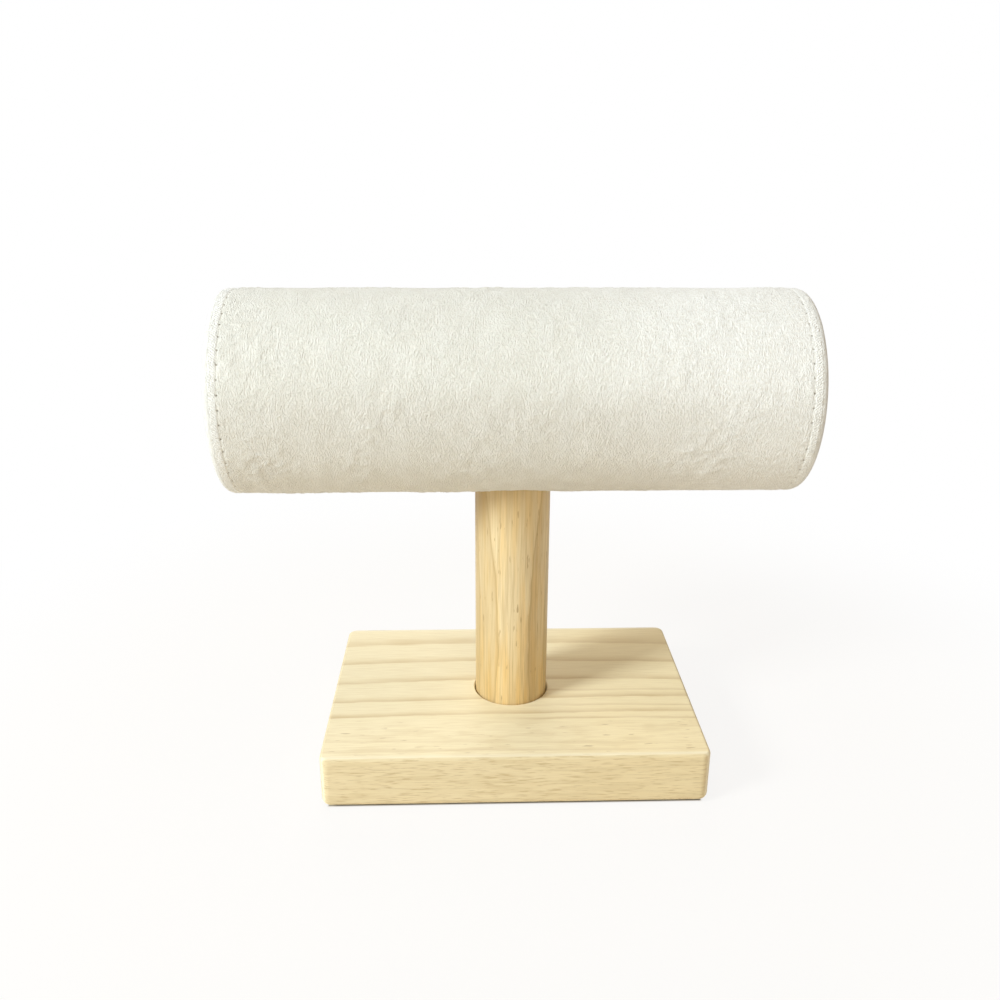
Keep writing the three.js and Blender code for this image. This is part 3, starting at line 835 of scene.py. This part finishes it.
# Painted shade: the roll is darkened from its middle height downwards, less so towards its right end.
painted_underside_shade = velvet.fade(abs(turn), 1.2, 1.62) * (0.55 - velvet.fade(along, 35, 95) * 0.35)
brushed_nap_and_painted_light = velvet.mixed(painted_underside_shade, brushed_nap_and_painted_light, IVORY_SHADE)
tone, pile = velvet_nap(velvet, flat, brushed_nap_and_painted_light)
stitch = turn * (VELVET_STITCHES / (2 * math.pi)) + 0.5
to_hole = (stitch.fraction() - 0.5) * (2 * math.pi * sleeve_radius / MM / VELVET_STITCHES)
to_row = abs(along) - (sleeve_half - STITCH_INSET) / MM
drawn = velvet.mottle(flat, (5, 5, 5), 1.0)
from_hole = (to_hole * to_hole + to_row * to_row) ** 0.5
needle = velvet.fade(from_hole, 0.5, 0.15) * velvet.fade(drawn, 0.25, 0.55)
hem = velvet.fade(to_row, 0.15, 0.7)
lean = arc / PUCKER_PITCH + abs(along) / PUCKER_SLANT + drawn * 1.6
pucker = velvet.fade(abs(lean.fraction() - 0.5), 0.5, 0.1) * hem
tone = velvet.mixed(hem * (0.85 - velvet.fade(along, 0, 70) * 0.40), tone, IVORY_LIGHT)
# Painted shade: the hem darkens between its puckers.
tone = velvet.mixed((hem - pucker) * 0.3, tone, IVORY_SHADE)
# Painted shade in the needle holes.
velvet.feed("Base Color", velvet.mixed(needle * 0.65, tone, NEEDLE_HOLE_SHADE))
velvet.relief(pile + pucker * 0.2, PILE_DEPTH)

sleeve_mesh = with_post_hole(lofted("velvet_sleeve", velvet_rings, closed=True), "velvet_sleeve")
sleeve = shown("velvet_sleeve", sleeve_mesh, velvet)
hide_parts("cover_sleeve")
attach(sleeve, "roll")


# Hem stitches: ivory polyester thread, one straight stitch from needle hole to needle hole,
# drawn down into the velvet so that it lies almost flush.
THREAD_RADIUS = 0.22 * MM
THREAD_SIDES = 8
THREAD_STEPS = 10
THREAD_SINK = 0.28 * MM
THREAD_DIP = 0.75 * MM
THREAD_FROM = 0.06
THREAD_SPAN = 0.88
THREAD_COLOUR = colour(0.87, 0.87, 0.80)
THREAD_SHADE = colour(0.74, 0.73, 0.65)

twine = Finish("hem_thread", {"Roughness": 0.6, "Specular IOR Level": 0.3, "Sheen Weight": 0.2})
spot = twine.place()
ply = twine.node(
    "ShaderNodeTexWave",
    {"wave_type": "BANDS", "bands_direction": "DIAGONAL"},
    {"Vector": spot, "Scale": 0.9, "Distortion": 0.6},
)
hair = twine.mottle(spot, (0.2, 0.5, 0.5), 3.0)
twine.feed("Base Color", twine.mixed(ply * 0.4 + hair * 0.3, THREAD_COLOUR, THREAD_SHADE))
twine.relief(ply, 0.05 * MM)


def stitch_row(name, side, node):
    """All the stitches round one hem, each a short arched length of thread."""
    x = side * (sleeve_half - STITCH_INSET)
    points = []
    faces = []
    for stitch in range(VELVET_STITCHES):
        start = len(points)
        for step in range(THREAD_STEPS + 1):
            share = step / THREAD_STEPS
            angle = (stitch + THREAD_FROM + THREAD_SPAN * share) / VELVET_STITCHES * 2 * math.pi - math.pi
            arch = 1 - abs(2 * share - 1) ** 4
            centre = sleeve_radius - THREAD_SINK - THREAD_DIP * (1 - arch)
            for corner in range(THREAD_SIDES):
                turn = corner / THREAD_SIDES * 2 * math.pi
                points.append(roll_point(
                    x + THREAD_RADIUS * math.cos(turn),
                    centre + THREAD_RADIUS * math.sin(turn),
                    angle,
                ))
        for step in range(THREAD_STEPS):
            for corner in range(THREAD_SIDES):
                first = start + step * THREAD_SIDES
                after = (corner + 1) % THREAD_SIDES
                faces.append((
                    first + corner,
                    first + after,
                    first + THREAD_SIDES + after,
                    first + THREAD_SIDES + corner,
                ))
        last = start + THREAD_STEPS * THREAD_SIDES
        faces.append(tuple(range(start, start + THREAD_SIDES)))
        faces.append(tuple(range(last, last + THREAD_SIDES)))
    mesh = bpy.data.meshes.new(name)
    mesh.from_pydata(points, [], faces)
    row = shown(name, mesh, twine)
    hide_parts(node)
    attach(row, "roll")


stitch_row("hem_stitches_left", -1, "hem_thread_left")
stitch_row("hem_stitches_right", 1, "hem_thread_right")


# End rounds: a velvet disc drawn over each card round and slipped into the sleeve's end,
# with a soft rounded rim that stands just proud of the hem.
END_SIDES = VELVET_STITCHES * 4
END_THICK = 1.0 * MM
END_RIM = 2.4 * MM
END_RIM_STEPS = 9
END_SEAM_ROUND = 0.06 * MM
END_SEAM_SHARE = 0.3
END_PLAY = 0.03 * MM
END_TUG = 0.06 * MM
END_TUG_REACH = 1.2 * MM
END_CENTRE_SHARE = 0.05
END_BACK_CENTRE = 0.05 * MM
END_PILE_SHARE = 0.6
END_CROWN = 0.35 * MM
END_FACE_STEP = 1.4 * MM
END_CRUMPLE = 0.10 * MM
END_IVORY = colour(0.75, 0.765, 0.75)

end_angles = [column / END_SIDES * 2 * math.pi - math.pi for column in range(END_SIDES)]
velvet_end = Finish("end_velvet", VELVET_SURFACE)
spot = velvet_end.place()
along, across, high = velvet_end.parts(spot)
flat = velvet_end.joined(across, high, along)
tone, pile = velvet_nap(velvet_end, flat, END_IVORY)
velvet_end.feed("Base Color", tone)
velvet_end.relief(pile, PILE_DEPTH * END_PILE_SHARE)


def end_round(name, side, node):
    """One covered end: rim, slightly crowned face, and the velvet's turned-in back."""
    low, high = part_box(node)
    seam = low.x if side > 0 else -high.x
    outer = high.x if side > 0 else -low.x
    radius = (high.z - low.z) / 2 - END_PLAY
    face = radius - END_RIM
    rows = round(face / END_FACE_STEP)
    profile = []
    for row in range(rows):
        reach = face * (row + END_CENTRE_SHARE) / rows
        profile.append((outer + END_CROWN * (1 - (reach / face) ** 2), reach))
    rim_rise = outer - seam - END_SEAM_ROUND
    for step in range(END_RIM_STEPS + 1):
        angle = step / END_RIM_STEPS * math.pi / 2
        x = seam + END_SEAM_ROUND + rim_rise * math.cos(angle)
        profile.append((x, face + END_RIM * math.sin(angle)))
    profile.append((seam + END_SEAM_ROUND * END_SEAM_SHARE, radius - END_SEAM_ROUND * END_SEAM_SHARE))
    profile.append((seam, radius - END_SEAM_ROUND))
    rings = []
    for x, reach in profile:
        ring = []
        for angle in end_angles:
            point = Vector(roll_point(0, reach, angle))
            rise = END_CRUMPLE * crumple(point.y, point.z) * min(1, max(0, (x - seam) / (outer - seam)))
            tug = END_TUG * math.cos(VELVET_STITCHES * angle) * bell(x - seam, END_TUG_REACH)
            ring.append(roll_point(side * (x + rise), reach + tug, angle))
        rings.append(ring)
    back = outer - END_THICK
    inner = radius - END_THICK - END_SEAM_ROUND
    for x, reach in ((seam, inner), (back, inner), (back, inner / 2), (back, END_BACK_CENTRE)):
        rings.append([roll_point(side * x, reach, angle) for angle in end_angles])
    cover = shown(name, lofted(name, rings), velvet_end)
    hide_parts(node)
    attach(cover, "roll")


end_round("velvet_end_left", -1, "end_cover_left")
end_round("velvet_end_right", 1, "end_cover_right")


# Floor, lamps and air: a pale table top in a small photo tent. One cool lamp stands on the left,
# and warm light comes back from the tent's front, roof and rear.
FLOOR_HALF = 3.0
FLOOR_DROP = 0.1 * MM
FLOOR_COLOUR = colour(0.84, 0.77, 0.67)
FLOOR_PALE = colour(0.92, 0.88, 0.80)
FLOOR_WHITE_SHARE = 0.86
FLOOR_SHADE_REACH = (130, 330)
FLOOR_PAINTED_SHADOW = colour(0.36, 0.33, 0.28)
FLOOR_CONTACT_FROM = 1.5
FLOOR_CONTACT_FULL = 2.7
AIR_LIGHT = 0.18
WHITE = colour(1, 1, 1)
LAMP_TINT = (0.86, 0.95, 1.0)
TENT_TINT = (1.0, 0.90, 0.77)
REAR_TINT = (1.0, 0.96, 0.90)
STAND_MIDDLE = Vector((0, 0, 0.09))


def lamp(name, place, size, power, tint):
    """A soft square lamp that looks at the middle of the stand."""
    light = bpy.data.lights.new(name, "AREA")
    light.shape = "SQUARE"
    light.size = size
    light.energy = power
    light.color = tint
    holder = bpy.data.objects.new(name, light)
    facing = (STAND_MIDDLE - place).to_track_quat("-Z", "Y").to_matrix().to_4x4()
    holder.matrix_world = Matrix.Translation(place) @ facing
    scene.collection.objects.link(holder)


lamp("lamp_left", Vector((-1.68, -0.93, 1.16)), size=0.55, power=45, tint=LAMP_TINT)
lamp("tent_front", Vector((0.2, -2.25, 0.95)), size=2.0, power=16, tint=TENT_TINT)
lamp("tent_roof", Vector((0, 0, 2.4)), size=2.0, power=19, tint=TENT_TINT)
lamp("tent_rear", Vector((-0.3, 2.0, 1.6)), size=1.8, power=19, tint=REAR_TINT)

floor_mesh = bpy.data.meshes.new("table_top")
corners = []
for x, y in ((-1, -1), (1, -1), (1, 1), (-1, 1)):
    corners.append((x * FLOOR_HALF, y * FLOOR_HALF, -FLOOR_DROP))
floor_mesh.from_pydata(corners, [], [(0, 1, 2, 3)])
table_top = bpy.data.objects.new("table_top", floor_mesh)
scene.collection.objects.link(table_top)

paper = Finish("table_paper", {"Roughness": 1.0, "Specular IOR Level": 0.0})
spot = paper.place()
white = paper.node("ShaderNodeEmission", {}, {"Color": WHITE, "Strength": 1.0})
shaded = Shade(paper, paper.shader.outputs[0])
distance = paper.node("ShaderNodeVectorMath", {"operation": "LENGTH"}, {0: spot}, "Value")
whiteness = paper.fade(distance, *FLOOR_SHADE_REACH) * (1 - FLOOR_WHITE_SHARE) + FLOOR_WHITE_SHARE
along, across, high = paper.parts(spot)
# Painted shadow: under the board's edges the table top loses its white glow and is darkened, so the gap
# shows as a dark line.
painted_shadow_under_board = None
for place, edge in ((along, half_long), (across, half_deep)):
    covered = paper.fade(abs(place), edge - FLOOR_CONTACT_FROM, edge - FLOOR_CONTACT_FULL)
    painted_shadow_under_board = covered if painted_shadow_under_board is None else painted_shadow_under_board * covered
whiteness = whiteness * (1 - painted_shadow_under_board)
tone = paper.mixed(paper.mottle(spot, (30, 30, 30), 2.0) * 0.1, FLOOR_COLOUR, FLOOR_PALE)
paper.feed("Base Color", paper.mixed(painted_shadow_under_board, tone, FLOOR_PAINTED_SHADOW))
look = paper.node("ShaderNodeMixShader", {}, {0: paper.seen() * whiteness, 1: shaded, 2: white})
paper.tree.links.new(look.socket, paper.tree.nodes["Material Output"].inputs["Surface"])
floor_mesh.materials.append(paper.material)

air = bpy.data.worlds.new("bright_air")
air.use_nodes = True
scene.world = air
tent = Wiring(air.node_tree)
glow = tent.node("ShaderNodeBackground", {}, {"Color": colour(*TENT_TINT), "Strength": AIR_LIGHT})
backdrop = tent.node("ShaderNodeBackground", {}, {"Color": WHITE, "Strength": 1.0})
view = tent.node("ShaderNodeMixShader", {}, {0: tent.seen(), 1: glow, 2: backdrop})
tent.tree.links.new(view.socket, tent.tree.nodes["World Output"].inputs["Surface"])
scene.view_settings.view_transform = "Standard"
